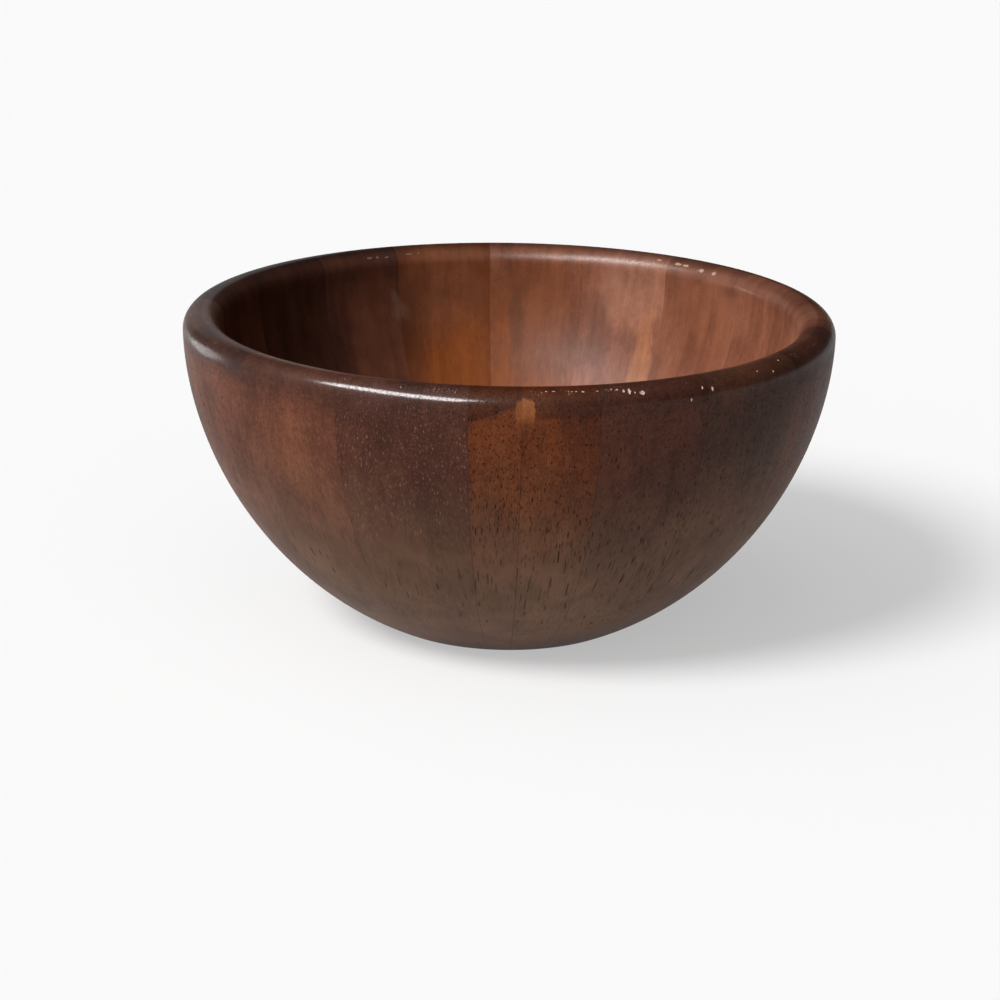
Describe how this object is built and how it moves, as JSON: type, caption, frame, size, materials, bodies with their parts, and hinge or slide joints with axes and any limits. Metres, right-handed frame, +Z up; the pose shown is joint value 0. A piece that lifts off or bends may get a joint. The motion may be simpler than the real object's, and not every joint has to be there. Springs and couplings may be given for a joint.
{
  "type": "wooden bowl",
  "caption": "Small round-bottomed wooden bowl coopered from leaning staves, turned to a rounded lip and closed by a glued-in base disc.",
  "frame": {"origin": "middle of the foot, on the surface that the bowl stands on", "axes": "+Z up the lathe axis, out of the mouth; -Y towards the front, through the middle of the place that the two narrow staves share; +X to the right seen from the front"},
  "size_m": [0.152, 0.152, 0.074],
  "materials": {
    "orange_wood": "satin lacquer over orange-brown open-pored hardwood",
    "red_wood": "satin lacquer over reddish-brown open-pored hardwood",
    "brown_wood": "satin lacquer over mid-brown open-pored hardwood",
    "dark_wood": "satin lacquer over dark-stained open-pored hardwood",
    "grey_wood": "satin lacquer over dark greyish-brown open-pored hardwood"
  },
  "bodies": {
    "root": {"narrow_stave_left": "orange_wood", "narrow_stave_right": "orange_wood", "stave_01": "dark_wood", "stave_02": "grey_wood", "stave_03": "dark_wood", "stave_04": "brown_wood", "stave_05": "red_wood", "stave_06": "red_wood", "stave_07": "red_wood", "stave_08": "brown_wood", "stave_09": "orange_wood", "stave_10": "dark_wood", "stave_11": "dark_wood", "stave_12": "brown_wood", "stave_13": "grey_wood", "stave_14": "red_wood", "stave_15": "red_wood", "stave_16": "dark_wood", "base_disc": "brown_wood"}
  },
  "joints": []
}
